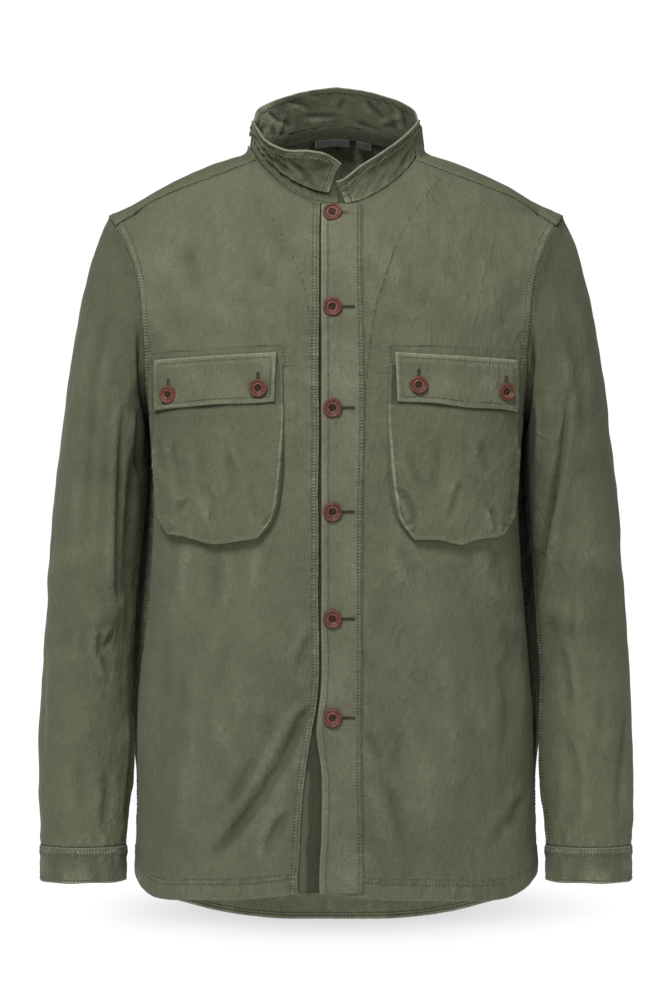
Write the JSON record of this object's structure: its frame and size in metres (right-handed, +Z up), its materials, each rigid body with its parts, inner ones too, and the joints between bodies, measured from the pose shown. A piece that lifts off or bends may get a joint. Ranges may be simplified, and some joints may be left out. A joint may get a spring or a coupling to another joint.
{
  "type": "field jacket",
  "caption": "Worn-shape cotton drill field jacket with turned-up collar, yoke, buttoned placket, long sleeves with cuffs and flapped chest pockets.",
  "frame": {"origin": "middle of the neck opening, level with the shoulder line", "axes": "+Z up, the jacket faces -Y, its own left side is at +X"},
  "size_m": [0.5914, 0.2799, 0.8519],
  "materials": {
    "drill": "matt washed olive cotton drill",
    "drill_worn": "the same drill, paler where worn",
    "thread": "matt olive sewing thread",
    "label": "plain dark woven tape",
    "corozo": "satin red-brown, worn on the rim"
  },
  "bodies": {
    "root": {"front_right": "drill", "front_left": "drill", "back": "drill", "yoke": "drill", "sleeve_right": "drill", "sleeve_left": "drill", "cuff_right": "drill_worn", "cuff_left": "drill_worn", "collar_stand": "drill", "collar_leaf": "drill_worn", "placket": "drill_worn", "button_stand": "drill", "pocket_right": "drill_worn", "pocket_left": "drill_worn", "flap_right": "drill_worn", "flap_left": "drill_worn", "neck_label": "label", "size_label": "label", "button_front_1": "corozo", "button_front_2": "corozo", "button_front_3": "corozo", "button_front_4": "corozo", "button_front_5": "corozo", "button_front_6": "corozo", "button_pocket_1": "corozo", "button_pocket_2": "corozo", "button_pocket_3": "corozo", "button_pocket_4": "corozo"}
  },
  "joints": []
}
